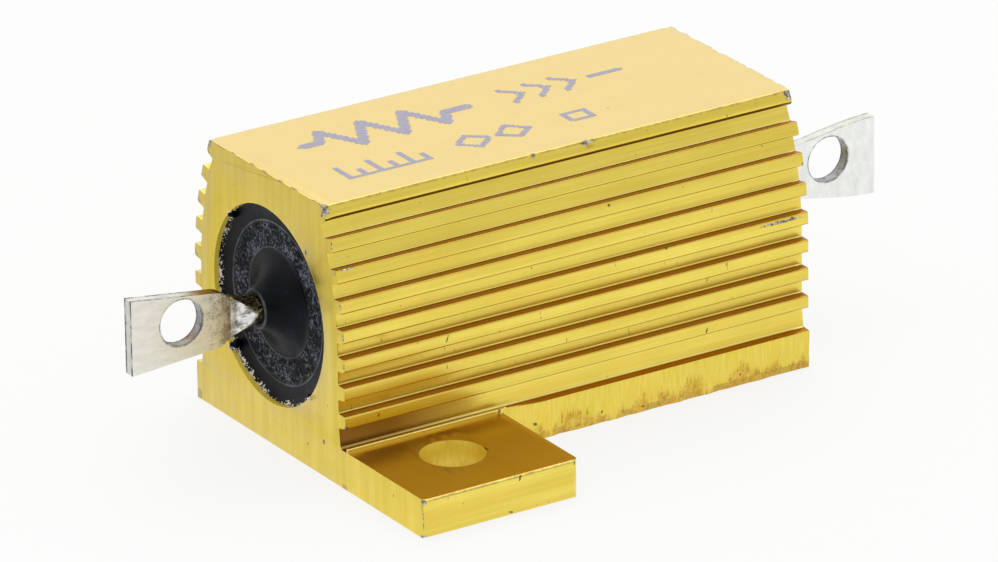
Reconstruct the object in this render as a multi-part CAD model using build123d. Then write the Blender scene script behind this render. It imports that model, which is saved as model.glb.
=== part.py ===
from build123d import *
import os
from math import asin, cos, radians, sin, sqrt, tan

# Wirewound power resistor in a finned aluminium housing, screwed down by two corner flanges.
# X runs along the body, Y across the flanges and Z up from the middle of the seating face.
# Sizes are in millimetres.

# Housing: one extrusion along X, bored for the element
body_length = 27.0
bore_radius = 5.1
bore_floor = 2.2               # metal left under the bore
body_height = 14.25

# Cooling fins, the same on both sides, on a flank that is upright low down and arched above
fin_pitch = 1.49
fin_tip_thickness = 0.65
fin_depth = 0.58
fin_lean = 0.7                 # the fins on the arch lean up by this share of its slope
fin_under_angle = 11.0         # the underside of each fin slopes down to its root
fin_tip_radius = 0.1
top_fin_thickness = 0.8
top_fin_radius = 0.18          # along the underside of the top fin
least_gap = 0.6                # the least height left between the top fin and the next one down
groove_radius = 0.08           # where the floor of a groove meets its back
base_groove_radius = 0.18      # the same in the groove over the base,
base_groove_depth = 0.45       # which is shallower at its floor
lowest_gap = 1.17              # from the base up to the lowest fin's underside, at its tip
flank_half_width = 6.9
arch_start_height = 7.0
arch_radius = 16.8

# Fixing flanges: the base strip, left on at two opposite corners and sheared off elsewhere
base_ledge = 0.08              # the sheared base stands out this far beyond the fins
flange_width = 6.92            # from the sheared base
flange_length = 8.85
flange_thickness = 2.0
flange_edge_radius = 0.15      # along its outer side
flange_corner_radius = 0.35    # where the shear leaves its outer side
shear_corner_radius = 0.3      # and where it meets the base
hole_radius = 1.6
hole_from_end = 4.2            # hole's middle to the end of the body
hole_from_side = 4.0           # and to the flange's outer side
lip_height = 0.22              # a lip stands along the inner side of each flange
lip_width = 0.14
lip_radius = 0.06

# Moulding: fills the bore, sunk at both ends, with a cone round each terminal
rim_sink = 0.45                # its outer edge below the housing's end face
rim_width = 1.0                # a smooth rim that dips to the rough ring
ring_sink = 0.66
ring_width = 1.3
cone_base_sink = 0.74
collar_width = 0.25            # the moulding left round the pin at the cone's tip
cone_tip_rise = 0.8            # the cone's top beyond the housing's end face
cone_hollow = 0.3              # how far the cone's flank dips below a straight one

# Element: ceramic rod, end caps, winding and terminals
element_offset = 0.3           # the element sits this far towards +X of the housing's middle
core_radius = 2.7
core_inset = 3.5               # rod's end inside the housing's end
cap_wall = 0.3
cap_floor = 0.4
cap_length = 3.0
ribbon_width = 1.2             # the winding is a flat ribbon of resistance alloy
ribbon_thickness = 0.2
ribbon_pitch = 2.7
winding_clearance = 0.02       # ribbon to rod, and end turns to caps
lug_reach = 8.2                # lug's end beyond the housing's end, less the offset
pin_radius = 0.75
lug_length = 6.0
lug_thickness = 0.65
lug_tip_wall = 0.75            # metal each side of the eyelet's width, at the lug's end
lug_root_wall = 0.15           # and at its root
lug_root_radius = 1.2
eyelet_radius = 1.2
eyelet_from_tip = 2.8
eyelet_rise = 0.3              # the eyelet is punched this far above the lug's centre line
flatten_length = 1.3           # over which the round pin is beaten out flat
flatten_end_radius = 0.15      # the beaten pin's last trace, inside the lug

# Worked out from the above
same_place = 0.01              # lengths that differ by less are the same
half_length = body_length / 2
axis_height = bore_floor + bore_radius
base_half_width = flank_half_width + base_ledge
lip_outside = base_half_width + lip_width
lip_top = flange_thickness + lip_height
flange_half_span = base_half_width + flange_width
lowest_fin_height = flange_thickness + lowest_gap
top_fin_height = body_height - top_fin_thickness
fin_span = top_fin_height - least_gap - fin_tip_thickness - lowest_fin_height
lower_fin_count = int(fin_span / fin_pitch) + 1
fin_under_drop = fin_depth * tan(radians(fin_under_angle))
ring_outer_radius = bore_radius - rim_width
cone_base_radius = ring_outer_radius - ring_width
cone_tip_radius = pin_radius + collar_width
core_end = half_length - core_inset
cap_outer = core_end + cap_floor
cap_rim = cap_outer - cap_length
lug_tip = half_length + lug_reach
lug_root = lug_tip - lug_length
lug_tip_half = eyelet_radius + lug_tip_wall
lug_root_half = eyelet_radius + lug_root_wall


def rod(radius, start, end):
    """A round bar on the X axis."""
    return extrude(Plane.YZ.offset(start) * Circle(radius), end - start)


def flank(height):
    """Half width of the fins' envelope at a height."""
    rise = max(0, height - arch_start_height)
    return flank_half_width - arch_radius + sqrt(arch_radius**2 - rise**2)


def beside_flank(height, reach):
    """Point reached from the flank at a height by going outward along a fin."""
    rise = max(0, height - arch_start_height)
    lean = fin_lean * asin(rise / arch_radius)
    return (flank(height) + reach * cos(lean), height + reach * sin(lean))


def fin_groove(lower, upper, floor_depth, radius):
    """The gap below a fin: along the fin beneath it, sloping under the fin above."""
    root_y, root_z = beside_flank(upper, -fin_depth)
    mouth_y, mouth_z = beside_flank(upper, fin_depth)
    groove = make_face(
        Polyline(
            beside_flank(lower, -floor_depth),
            beside_flank(lower, floor_depth),
            (mouth_y, mouth_z + fin_under_drop),
            (root_y, root_z - fin_under_drop),
            close=True,
        )
    )
    floor_corner = groove.vertices().sort_by(Axis.Y)[:2].sort_by(Axis.X)[0]
    return fillet(floor_corner, radius)


def finned_half():
    """Right half of the extrusion's section, in Y and Z, before the bore."""
    middle = (arch_start_height + body_height) / 2
    outline = Polyline(
        (flank(body_height), body_height),
        (0, body_height),
        (0, 0),
        (flank_half_width, 0),
        (flank_half_width, arch_start_height),
    ) + ThreePointArc(
        (flank_half_width, arch_start_height),
        (flank(middle), middle),
        (flank(body_height), body_height),
    )
    half = make_face(outline)
    half -= fin_groove(flange_thickness, lowest_fin_height, base_groove_depth, base_groove_radius)
    fin_heights = [lowest_fin_height + index * fin_pitch for index in range(lower_fin_count)]
    for fin, next_fin in zip(fin_heights, fin_heights[1:] + [top_fin_height]):
        half -= fin_groove(fin + fin_tip_thickness, next_fin, fin_depth, groove_radius)
    lip = Pos(base_half_width) * Rectangle(lip_width, lip_top, align=Align.MIN)
    return half + lip + Rectangle(flange_half_span, flange_thickness, align=Align.MIN)


def near(value, other):
    return abs(value - other) < same_place


def long_edges(body, half_width):
    """Edges along X, above the flanges, whose half width is what half_width gives at their height."""
    places = [(edge, edge.center()) for edge in body.edges().filter_by(Axis.X)]
    return [
        edge
        for edge, middle in places
        if middle.Z > flange_thickness + same_place and near(abs(middle.Y), half_width(middle.Z))
    ]


def under_top_fin(edge):
    return near(edge.center().Z, top_fin_height)


def shear_waste():
    """What the shear takes from one side: the strip past the flange, and the flange's corner."""
    inner_end = flange_length - half_length
    strip = Rectangle(body_length, flange_half_span, align=(Align.MIN, Align.MAX))
    strip = Pos(inner_end, -base_half_width) * strip
    root_corner = strip.vertices().sort_by(Axis.X)[:2].sort_by(Axis.Y)[-1]
    strip = fillet(root_corner, shear_corner_radius)
    corner = Rectangle(flange_corner_radius, flange_corner_radius, align=(Align.MAX, Align.MIN))
    corner -= Pos(-flange_corner_radius, flange_corner_radius) * Circle(flange_corner_radius)
    return extrude(strip + Pos(inner_end, -flange_half_span) * corner, lip_top)


def make_housing():
    half = finned_half()
    section = half + mirror(half, about=Plane.YZ)
    body = extrude(Plane.YZ * section, half_length, both=True)
    body = fillet(long_edges(body, lambda height: lip_outside), lip_radius)
    body = fillet([edge for edge in long_edges(body, flank) if not under_top_fin(edge)], fin_tip_radius)
    body = fillet([edge for edge in long_edges(body, flank) if under_top_fin(edge)], top_fin_radius)
    x_edges = body.edges().filter_by(Axis.X)
    outer_edges = [edge for edge in x_edges if near(abs(edge.center().Y), flange_half_span)]
    body = fillet(outer_edges, flange_edge_radius)
    body -= Pos(Z=axis_height) * rod(bore_radius, -half_length, half_length)

    # On each side the strip is sheared off from the flange's inner end to the end of the body
    waste = shear_waste()
    body -= [waste, Rot(Z=180) * waste]
    for side in (-1, 1):
        place = Pos(side * (half_length - hole_from_end), side * (flange_half_span - hole_from_side))
        body -= place * Cylinder(hole_radius, flange_thickness, align=(Align.CENTER, Align.CENTER, Align.MIN))
    return body


def make_end_cap():
    return rod(core_radius + cap_wall, cap_rim, cap_outer) - rod(core_radius, cap_rim, core_end)


def make_winding():
    reach = cap_rim - ribbon_width / 2 - winding_clearance
    path = Helix(
        pitch=ribbon_pitch,
        height=2 * reach,
        radius=core_radius + winding_clearance + ribbon_thickness / 2,
        center=(-reach, 0, 0),
        direction=(1, 0, 0),
    )
    start = path @ 0
    outward = Vector(0, start.Y, start.Z)
    section = Plane(origin=start, x_dir=outward, z_dir=path % 0) * Rectangle(ribbon_thickness, ribbon_width)
    return sweep(section, path=path, is_frenet=True)


def make_terminal():
    """A round pin from the end cap, beaten flat into a lug and pierced."""
    outline = make_face(
        Polyline(
            (lug_root, -lug_root_half),
            (lug_tip, -lug_tip_half),
            (lug_tip, lug_tip_half),
            (lug_root, lug_root_half),
            close=True,
        )
    )
    root_corners = outline.vertices().sort_by(Axis.X)[:2]
    outline = fillet(root_corners, min(lug_root_radius, 0.9 * lug_root_half))
    lug = extrude(Plane.XZ * outline, lug_thickness / 2, both=True)
    pin = rod(pin_radius, cap_outer, lug_root)
    flattened = loft(
        [
            Plane.YZ.offset(lug_root) * Circle(pin_radius),
            Plane.YZ.offset(lug_root + flatten_length) * Circle(flatten_end_radius),
        ]
    )
    hole = Plane.XZ * Pos(lug_tip - eyelet_from_tip, eyelet_rise) * Circle(eyelet_radius)
    return lug + pin + flattened - extrude(hole, pin_radius, both=True)


def make_moulding(element):
    outline = Polyline(
        (half_length + cone_tip_rise, cone_tip_radius),
        (half_length + cone_tip_rise, 0),
        (0, 0),
        (0, bore_radius),
        (half_length - rim_sink, bore_radius),
        (half_length - ring_sink, ring_outer_radius),
        (half_length - cone_base_sink, cone_base_radius),
    ) + SagittaArc(
        (half_length - cone_base_sink, cone_base_radius),
        (half_length + cone_tip_rise, cone_tip_radius),
        -cone_hollow,
    )
    half = revolve(Plane.XZ * make_face(outline), Axis.X)
    body = half + mirror(half, about=Plane.YZ)
    for piece in element:
        body -= piece
    return body


cap = make_end_cap()
terminal = make_terminal()
element = {
    "ceramic_core": rod(core_radius, -core_end, core_end),
    "resistance_winding": make_winding(),
    "end_cap_left": Rot(Z=180) * cap,
    "end_cap_right": cap,
    "terminal_left": Rot(Z=180) * terminal,
    "terminal_right": terminal,
}
element = {name: Pos(X=element_offset) * piece for name, piece in element.items()}
nodes = {"moulding": make_moulding(element.values())} | element
nodes = {name: Pos(Z=axis_height) * piece for name, piece in nodes.items()}
nodes["housing"] = make_housing()

os.makedirs("parts", exist_ok=True)
for name, piece in nodes.items():
    export_step(piece, f"parts/{name}.step")
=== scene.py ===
import math
import bmesh
import bpy
from functools import partial
from mathutils import Matrix, Vector, noise


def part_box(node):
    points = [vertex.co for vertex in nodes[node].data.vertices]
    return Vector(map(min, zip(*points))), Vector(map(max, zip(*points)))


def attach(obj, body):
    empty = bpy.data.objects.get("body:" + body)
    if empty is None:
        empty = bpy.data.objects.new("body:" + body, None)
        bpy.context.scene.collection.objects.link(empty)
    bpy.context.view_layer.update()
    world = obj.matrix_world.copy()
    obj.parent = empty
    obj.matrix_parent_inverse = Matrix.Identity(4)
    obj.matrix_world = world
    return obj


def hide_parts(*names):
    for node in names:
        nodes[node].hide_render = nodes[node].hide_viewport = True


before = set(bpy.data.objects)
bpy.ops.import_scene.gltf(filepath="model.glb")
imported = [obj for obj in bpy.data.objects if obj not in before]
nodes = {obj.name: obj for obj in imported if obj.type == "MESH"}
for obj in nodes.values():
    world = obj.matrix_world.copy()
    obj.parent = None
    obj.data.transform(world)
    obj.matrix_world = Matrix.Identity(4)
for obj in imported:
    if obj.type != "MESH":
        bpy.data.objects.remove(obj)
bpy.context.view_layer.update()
mm = 0.001

# Places that every piece shares, in millimetres
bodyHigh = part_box("housing")[1] / mm
sealLow, sealHigh = [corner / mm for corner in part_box("moulding")]
endX = bodyHigh.x
topZ = bodyHigh.z
axisZ = (sealLow.z + sealHigh.z) / 2
boreRadius = (sealHigh.z - sealLow.z) / 2
shearY = 6.98                  # the sheared sides of the base, a little proud of the fins
flangeZ = 2.0
print("frame loaded:", len(nodes), "CAD nodes")


def linear(code):
    # sRGB hex to the linear colour that the shaders take
    channels = [int(code[i:i + 2], 16) / 255 for i in (1, 3, 5)]
    return tuple(c / 12.92 if c <= 0.04045 else ((c + 0.055) / 1.055) ** 2.4 for c in channels) + (1.0,)


def addNode(tree, kind, *inputs, stops=None, **settings):
    # the kind can end in its operation, or in what a mix works on; the inputs come in order, or by name
    # in a dict, and each is a value, a colour's code, a socket, or a node that gives its first output
    kind, *mode = kind.split(".")
    node = tree.nodes.new("ShaderNode" + kind)
    if mode:
        settings["data_type" if kind == "Mix" else "operation"] = mode[0]
    for name, value in settings.items():
        setattr(node, name, value)
    if inputs and isinstance(inputs[0], dict):
        pairs = [(node.inputs[name], value) for name, value in inputs[0].items()]
    else:
        pairs = zip([socket for socket in node.inputs if socket.enabled], inputs)
    for socket, value in pairs:
        if isinstance(value, bpy.types.Node):
            value = next(output for output in value.outputs if output.enabled)
        if isinstance(value, bpy.types.NodeSocket):
            tree.links.new(value, socket)
        else:
            socket.default_value = linear(value) if isinstance(value, str) else value
    if stops:
        ramp = node.color_ramp
        while len(ramp.elements) < len(stops):
            ramp.elements.new(0.5)
        for element, (place, code) in zip(ramp.elements, stops):
            element.position = place
            element.color = linear(code)
    return node


def newMaterial(name):
    # and the function that adds its nodes, the place on the piece in millimetres, and the way it faces
    material = bpy.data.materials.new(name)
    material.use_nodes = True
    material.node_tree.nodes.clear()
    put = partial(addNode, material.node_tree)
    coordinates = put("TexCoord").outputs
    place = put("Mapping", {"Vector": coordinates["Object"], "Scale": (1 / mm, 1 / mm, 1 / mm)})
    return material, put, place, coordinates["Normal"]


def finishMaterial(material, put, looks):
    put("OutputMaterial", put("BsdfPrincipled", looks))
    return material


def stretched(put, place, cells, *detail, turn=(0, 0, 0), shift=(0, 0, 0)):
    # how many cells a millimetre holds along each axis, then the detail and the roughness
    mapped = put("Mapping", {"Vector": place, "Location": shift, "Rotation": turn, "Scale": cells})
    return put("TexNoise", mapped, 1.0, *detail)


def layOver(put, colour, tone, share, *shares):
    # lays a tone over the colour, as much as the product of the shares
    for another in shares:
        share = put("Math.MULTIPLY", share, another)
    return put("Mix.RGBA", share, colour, tone)


def fromMiddle(put, place, middle, half, turn=(0, 0, 0)):
    # 0 in the middle of an ellipsoid, 1 on its surface
    there = put("Mapping", {
        "Vector": place, "Location": middle, "Rotation": turn, "Scale": half,
    }, vector_type="TEXTURE")
    return put("VectorMath.LENGTH", there)


def fromLine(put, place, point, plane):
    # the way and the distance from the line that runs through the point, square to the plane
    offset = put("VectorMath.SUBTRACT", place, point)
    way = put("VectorMath.MULTIPLY", offset, plane)
    return way, put("VectorMath.LENGTH", way)


def addObject(name, data):
    made = bpy.data.objects.new(name, data)
    bpy.context.scene.collection.objects.link(made)
    return made


def addPiece(name, bm, material, node=None):
    # takes a mesh in millimetres
    bmesh.ops.scale(bm, vec=(mm, mm, mm), verts=bm.verts)
    mesh = bpy.data.meshes.new(name)
    bm.to_mesh(mesh)
    bm.free()
    mesh.materials.append(material)
    mesh.shade_smooth()
    piece = addObject(name, mesh)
    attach(piece, "root")
    if node:
        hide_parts(node)
    return piece


def breakEdges(piece, width, angle):
    # small rounds on every corner, inside ones too, while the flats stay flat
    bevel = piece.modifiers.new("brokenEdges", "BEVEL")
    bevel.width = width * mm
    bevel.segments = 2
    bevel.limit_method = "ANGLE"
    bevel.angle_limit = math.radians(angle)
    bevel.harden_normals = True


def mergedCopy(node):
    bm = bmesh.new()
    bm.from_mesh(nodes[node].data)
    bmesh.ops.remove_doubles(bm, verts=bm.verts, dist=0.001 * mm)
    bmesh.ops.dissolve_limit(bm, angle_limit=math.radians(0.5), verts=bm.verts, edges=bm.edges)
    bmesh.ops.scale(bm, vec=(1 / mm, 1 / mm, 1 / mm), verts=bm.verts)
    return bm


def turnAndMove(bm, verts, turn, axis, place):
    bmesh.ops.rotate(bm, cent=(0, 0, 0), matrix=Matrix.Rotation(turn, 3, axis), verts=verts)
    bmesh.ops.translate(bm, vec=place, verts=verts)


def closedOutline(bm, points):
    verts = [bm.verts.new(point) for point in points]
    for first, second in zip(verts, verts[1:] + verts[:1]):
        bm.edges.new((first, second))
    return verts


def cut(bm, place, facing, chosen=None):
    # one cut through the whole mesh, or through the faces that chosen picks
    faces = [face for face in bm.faces if chosen is None or chosen(face)]
    edges = {edge for face in faces for edge in face.edges}
    verts = {vert for face in faces for vert in face.verts}
    bmesh.ops.bisect_plane(bm, geom=[*verts, *edges, *faces], dist=0.001, plane_co=place, plane_no=facing)


# Where handling has gone through the gold to bare metal: middle, half sizes and depth of the dent
scuffs = [
    ((-13.46, -5.26, 14.06), (0.42, 0.4, 0.54), 0.12),
    ((-13.5, -13.86, 1.92), (0.26, 0.24, 0.26), 0.08),
    ((-13.5, -13.9, 1), (0.07, 0.07, 0.9), 0),
    ((-13.5, -13.88, 0.08), (0.24, 0.24, 0.18), 0.05),
    ((13.38, -5.36, 14.1), (0.36, 0.34, 0.34), 0.08),
    ((1.6, -5.3, 14.15), (0.42, 0.22, 0.22), 0.14),
    ((-1.55, -5.3, 14.2), (0.3, 0.14, 0.14), 0.06),
    ((-12.85, -6.34, 11.25), (0.5, 0.12, 0.09), 0),
    ((-13.5, -6.24, 11.15), (0.07, 0.1, 0.22), 0),
    ((-13.5, -5.98, 12.45), (0.07, 0.12, 0.26), 0),
    ((-13.5, -6.66, 9.5), (0.08, 0.1, 0.22), 0.02),
    ((-13.5, -6.86, 7.95), (0.08, 0.1, 0.3), 0.02),
    ((-13.5, -6.88, 6.45), (0.06, 0.1, 0.2), 0),
    ((-13.5, -6.86, 3.22), (0.26, 0.16, 0.22), 0.06),
    ((-13.5, -3.6, 11.3), (0.1, 0.14, 0.26), 0),
    ((13.45, 13.82, 1.9), (0.34, 0.34, 0.3), 0.08),
    ((13.42, 5.34, 14.12), (0.34, 0.3, 0.4), 0.07),
    ((-6.2, 5.3, 14.15), (0.3, 0.24, 0.24), 0.1),
    ((-13.46, 5.34, 14.12), (0.34, 0.34, 0.5), 0.05),
    ((13.48, -6.6, 10.9), (0.2, 0.2, 0.4), 0.02),
    ((11.9, -6.86, 8.11), (1.6, 0.12, 0.095), 0),
]

# Small dark pits and nicks: middle and half size along each axis
pits = [
    ((-2.66, -shearY, 0.86), (0.14, 0.1, 0.09)), ((-4.85, -7.12, 2.12), (0.09, 0.1, 0.14)),
    ((5.1, -6.9, 8.3), (0.14, 0.2, 0.1)), ((7.45, -6.9, 3.4), (0.05, 0.2, 0.14)),
    ((-7.6, -6.9, 6.6), (0.06, 0.2, 0.22)), ((2.1, -6.4, 11.1), (0.1, 0.2, 0.07)),
    ((-8, -13.9, 1.86), (0.07, 0.16, 0.19)), ((-4.9, -13.9, 1.84), (0.05, 0.12, 0.12)),
    ((-7.66, -10.3, flangeZ), (0.06, 0.34, 0.1)), ((4.75, -2.3, topZ), (0.08, 0.06, 0.1)),
    ((-13.5, -4.9, 1.83), (0.1, 0.09, 0.14)), ((-13.5, -3.4, 1.2), (0.1, 0.05, 0.08)),
    ((-13.5, -5.3, 3.9), (0.1, 0.04, 0.1)), ((-13.5, -11.2, 1.3), (0.1, 0.04, 0.12)),
    ((1.2, -shearY, 0.55), (0.07, 0.1, 0.1)), ((3.6, -shearY, 0.3), (0.1, 0.1, 0.08)),
    ((9.4, -shearY, 0.6), (0.08, 0.1, 0.1)), ((-11.6, -6.9, 3.5), (0.05, 0.2, 0.12)),
    ((-8.6, -13.9, 0.2), (0.16, 0.12, 0.06)), ((12.55, -6.9, 8.14), (0.14, 0.2, 0.08)),
    ((11.35, -6.9, 8.09), (0.1, 0.2, 0.06)), ((12.05, -6.9, 8.1), (0.08, 0.2, 0.06)),
    ((4, 6.9, 6.5), (0.08, 0.2, 0.14)), ((-6, 6.9, 9.2), (0.1, 0.2, 0.08)),
    ((13.5, 3, 1.4), (0.1, 0.1, 0.1)), ((6.5, 13.9, 1.1), (0.08, 0.12, 0.14)),
]

gold = {
    "dyed": "#E2C43A",
    "dyedPale": "#F0D956",
    "olive": "#D8C540",
    "top": "#EDD16A",          # painted sheen: the printed face is given a paler, creamier tone for the light it catches
    "topWarm": "#EBC868",
    "flangeTopShade": "#D3A83C",    # painted shade on faces that lie upward, on the flanges, and darker down in the grooves, less towards their mouths
    "groove": "#8C5804",       # and more of it down in the grooves,
    "grooveMouth": "#B57C14",  # less towards their mouths
    "under": "#7E5404",        # painted shade on the rounds under the fins' tips and on the ones above, damping their highlight
    "tipEdgeShade": "#C08E22",      # and the ones above
    # painted highlight on the small radii down in the grooves
    "grooveRadiusHighlight": "#FFF0A8",
    "shearPale": "#F6E27A",
    "torn": "#CC9A1C",
    "tornDeep": "#A0740C",
    "paintedWallLight": "#FFE24E",        # painted light on the walls of the bore's mouth and the fixing holes, which lie in shade
    "nick": "#84641A",
    # painted shade on the rounds of the long edges, damping their highlight
    "edgeShade": "#8E7230",
    "crookShade": "#9C7216",        # painted shade at the foot of the wall beside each flange
    "grime": "#4A3410",
    "roughness": 0.30,
    "oxideIor": 1.5,
    "lineSpacing": 0.10,       # die lines, drawn coarser than real so that they show
    "lineDepth": 0.0011,
    "grainSize": 0.08,         # etched grain, also coarser
    "grainDepth": 0.0012,
    "streakDepth": 0.009,
    "pitDepth": 0.018,
    "nickShare": (0.765, 0.795),     # the part of the nicks' noise that shows
    "shadeLeftOut": (-23.5, -25.0),       # x less twice y, towards the corner where the painted shade on upward faces is left out
    "crookTop": (3.3, 2.9),          # where the painted shade at the foot of the wall fades out, up and along
    "crookAlong": (5.0, 10.5),
    "flangeRim": 13.7,
    "witnessRadius": 6.1,      # ring that the boring tool's collar rubbed on the end
    "hole": (9.3, 9.9),        # middle of each fixing hole, from the part's own middle
    "holeRadius": 1.6,
    "finTips": 6.9,            # the fins' tips from the middle, low down; higher up they follow an arch
    "archFoot": 7.0,
    "archFall": 0.0305,        # half its curvature
    "finDepth": 0.58,          # of the grooves between them
}


def anodisedAluminium():
    # extruded aluminium, sawn, sheared, then anodised gold: satin metal under a clear oxide,
    # die lines along the bar, streaks down the sheared sides, bare metal where it is worn through
    material, put, place, normal = newMaterial("anodisedAluminium")
    at = put("SeparateXYZ", place).outputs
    facing = put("SeparateXYZ", normal).outputs
    alongX = put("Math.ABSOLUTE", facing[0])
    alongY = put("Math.ABSOLUTE", facing[1])
    outX = put("Math.ABSOLUTE", at[0])
    outY = put("Math.ABSOLUTE", at[1])
    atEnd = put("Math.GREATER_THAN", outX, endX - 0.06)
    sawn = put("MapRange", alongX, 0.92, 0.99)
    upward = put("MapRange", facing[2], 0.80, 0.95)
    high = put("Math.GREATER_THAN", at[2], topZ - 0.12)
    low = put("Math.SUBTRACT", 1.0, high)
    topFacing = put("MapRange", facing[2], 0.30, 0.75)
    top = put("Math.MULTIPLY", topFacing, high)

    # the faces that were cut by shearing: the sides of the base, and the walls of the fixing holes
    offShear = put("Math.COMPARE", outY, shearY, 0.1)
    onBase = put("Math.LESS_THAN", at[2], flangeZ + 0.05)
    baseSide = put("Math.MULTIPLY", offShear, onBase)
    sideCut = put("Math.MULTIPLY", baseSide, alongY)
    holeX = put("Math.SUBTRACT", outX, gold["hole"][0])
    holeY = put("Math.SUBTRACT", outY, gold["hole"][1])
    toHole = put("CombineXYZ", holeX, holeY)
    fromHole = put("VectorMath.LENGTH", toHole)
    inHole = put("MapRange", fromHole, gold["holeRadius"] + 0.03, gold["holeRadius"] + 0.01)
    sheared = put("Math.MAXIMUM", sideCut, inHole)
    unsheared = put("Math.SUBTRACT", 1.0, sheared)

    # patterns: the cells that a millimetre holds, then detail and roughness
    across = 1 / gold["lineSpacing"]
    dieLines = stretched(put, place, (0.06, across, across), 3.0, 0.6)
    bands = stretched(put, place, (0.10, 1.6, 1.6), 2.0)
    cloud = put("TexNoise", place, 0.45, 3.0)
    grain = put("TexNoise", place, 1 / gold["grainSize"], 3.0)
    chips = put("TexNoise", place, 6.0, 4.0, 0.65)
    patches = put("TexNoise", place, 3.2, 6.0, 0.7)
    streaks = stretched(put, place, (9.0, 9.0, 0.7), 4.0, 0.6)
    sawMarks = stretched(put, place, (1.0, 2.4, 0.16), 5.0)
    nickNoise = stretched(put, place, (5.5, 1.2, 2.0), 1.0, turn=(0, 0.45, 0))

    # gold that drifts between a warm and an olive dye, in bands along the bar or down the cut faces
    bandTone = put("Math.MULTIPLY_ADD", dieLines, 0.7, bands)
    along = put("MapRange", bandTone, 0.60, 1.10)
    acrossEnd = put("MapRange", sawMarks, 0.32, 0.72, 0.0, 0.8)
    downCut = put("MapRange", streaks, 0.30, 0.70, 0.25, 0.75)
    share = put("Mix", sawn, along, acrossEnd)
    share = put("Mix", sheared, share, downCut)
    tone = put("ValToRGB", share, stops=[(0.1, gold["dyed"]), (0.9, gold["dyedPale"])])
    drift = put("MapRange", cloud, 0.35, 0.7, 0.0, 0.35)
    colour = put("Mix.RGBA", drift, tone, gold["olive"])
    # painted sheen: a paler, creamier tone on the printed face and the rounds along its edges
    topTone = put("Mix.RGBA", cloud, gold["topWarm"], gold["top"])
    colour = layOver(put, colour, topTone, top, 0.9)

    # painted shade on faces that lie upward, on the flanges and down in the grooves, darker deeper in the
    # grooves
    lipHeight = put("Math.COMPARE", at[2], flangeZ + 0.36, 0.30)
    lipPlace = put("Math.GREATER_THAN", outY, shearY - 0.12)
    onLip = put("Math.MULTIPLY", lipHeight, lipPlace)
    offLip = put("Math.SUBTRACT", low, onLip)
    # but the painted shade is left out towards one corner of the body
    towardCorner = put("Math.MULTIPLY_ADD", at[1], -2.0, at[0])
    shadeLeftOut = put("MapRange", towardCorner, *gold["shadeLeftOut"])
    shadeKept = put("Math.SUBTRACT", offLip, shadeLeftOut)
    ledge = put("Math.MULTIPLY", upward, shadeKept, use_clamp=True)
    onFlange = put("Math.GREATER_THAN", outY, shearY + 0.02)
    rise = put("MapRange", at[2], gold["archFoot"], topZ, 0.0, topZ - gold["archFoot"])
    riseSquare = put("Math.MULTIPLY", rise, rise)
    reach = put("Math.MULTIPLY_ADD", riseSquare, gold["archFall"], outY)
    outward = put("MapRange", reach, gold["finTips"] - gold["finDepth"] + 0.05, gold["finTips"] - 0.04)
    grooveShadeTone = put("Mix.RGBA", outward, gold["groove"], gold["grooveMouth"])
    upwardShade = put("Mix.RGBA", onFlange, grooveShadeTone, gold["flangeTopShade"])
    colour = put("Mix.RGBA", ledge, colour, upwardShade)

    # painted highlight: the small radii down in the grooves are paler, as lines along the bar; on the
    # rounds above the fins' tips, painted shade instead
    radiusLow = put("MapRange", facing[2], 0.48, 0.62)
    radiusHigh = put("MapRange", facing[2], 0.93, 0.80, 0.0, 0.65)
    onRadius = put("Math.MULTIPLY", radiusLow, radiusHigh)
    onLow = put("Math.MULTIPLY", onRadius, low)
    atTips = put("Math.COMPARE", reach, gold["finTips"] - 0.14, 0.2)
    radiusTone = put("Mix.RGBA", atTips, gold["grooveRadiusHighlight"], gold["tipEdgeShade"])
    colour = put("Mix.RGBA", onLow, colour, radiusTone)

    # painted shade on the rounds under the fins' tips
    downward = put("Math.COMPARE", facing[2], -0.46, 0.32)
    dark = put("MapRange", at[2], topZ - 1.4, topZ - 1.0, 0.4, 1.0)
    darkDown = put("Math.MULTIPLY", downward, dark)
    under = put("Math.MULTIPLY", darkDown, atTips)
    colour = put("Mix.RGBA", under, colour, gold["under"])

    # sheared faces: pale streaks down the clean part of the cut, ochre where the last part tore
    streakTone = put("MapRange", streaks, 0.42, 0.68, 0.0, 0.35)
    colour = layOver(put, colour, gold["shearPale"], streakTone, sheared)
    tornHeight = put("MapRange", at[2], 0.0, 1.5, 0.34, -0.26)
    clusters = stretched(put, place, (0.75, 0.3, 0.3), 1.0, shift=(3.1, 0, 0))
    clustered = put("MapRange", clusters, 0.35, 0.65, -0.22, 0.22)
    tornRise = put("Math.ADD", tornHeight, clustered)
    tornSum = put("Math.ADD", streaks, tornRise)
    tornEdge = put("MapRange", tornSum, 0.56, 0.72)
    flecks = put("MapRange", patches, 0.34, 0.54, 0.25, 0.85)
    tornMix = put("Math.MULTIPLY", tornEdge, flecks)
    torn = put("Math.MULTIPLY", tornMix, sheared)
    deepness = put("MapRange", chips, 0.50, 0.62)
    tornTone = put("Mix.RGBA", deepness, gold["torn"], gold["tornDeep"])
    colour = put("Mix.RGBA", torn, colour, tornTone)

    # painted shade at the foot of the wall, in the crook beside each flange
    crookHeight = put("MapRange", at[2], *gold["crookTop"])
    crookReach = put("MapRange", outX, *gold["crookAlong"])
    bySign = put("Math.MULTIPLY", at[0], at[1])
    besideFlange = put("Math.GREATER_THAN", bySign, 0.0)
    inCrook = put("Math.MULTIPLY", crookHeight, crookReach)
    offWall = put("Math.LESS_THAN", outY, shearY - 0.05)
    onWall = put("Math.MULTIPLY", offWall, alongY)
    colour = layOver(put, colour, gold["crookShade"], inCrook, besideFlange, onWall)

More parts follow.
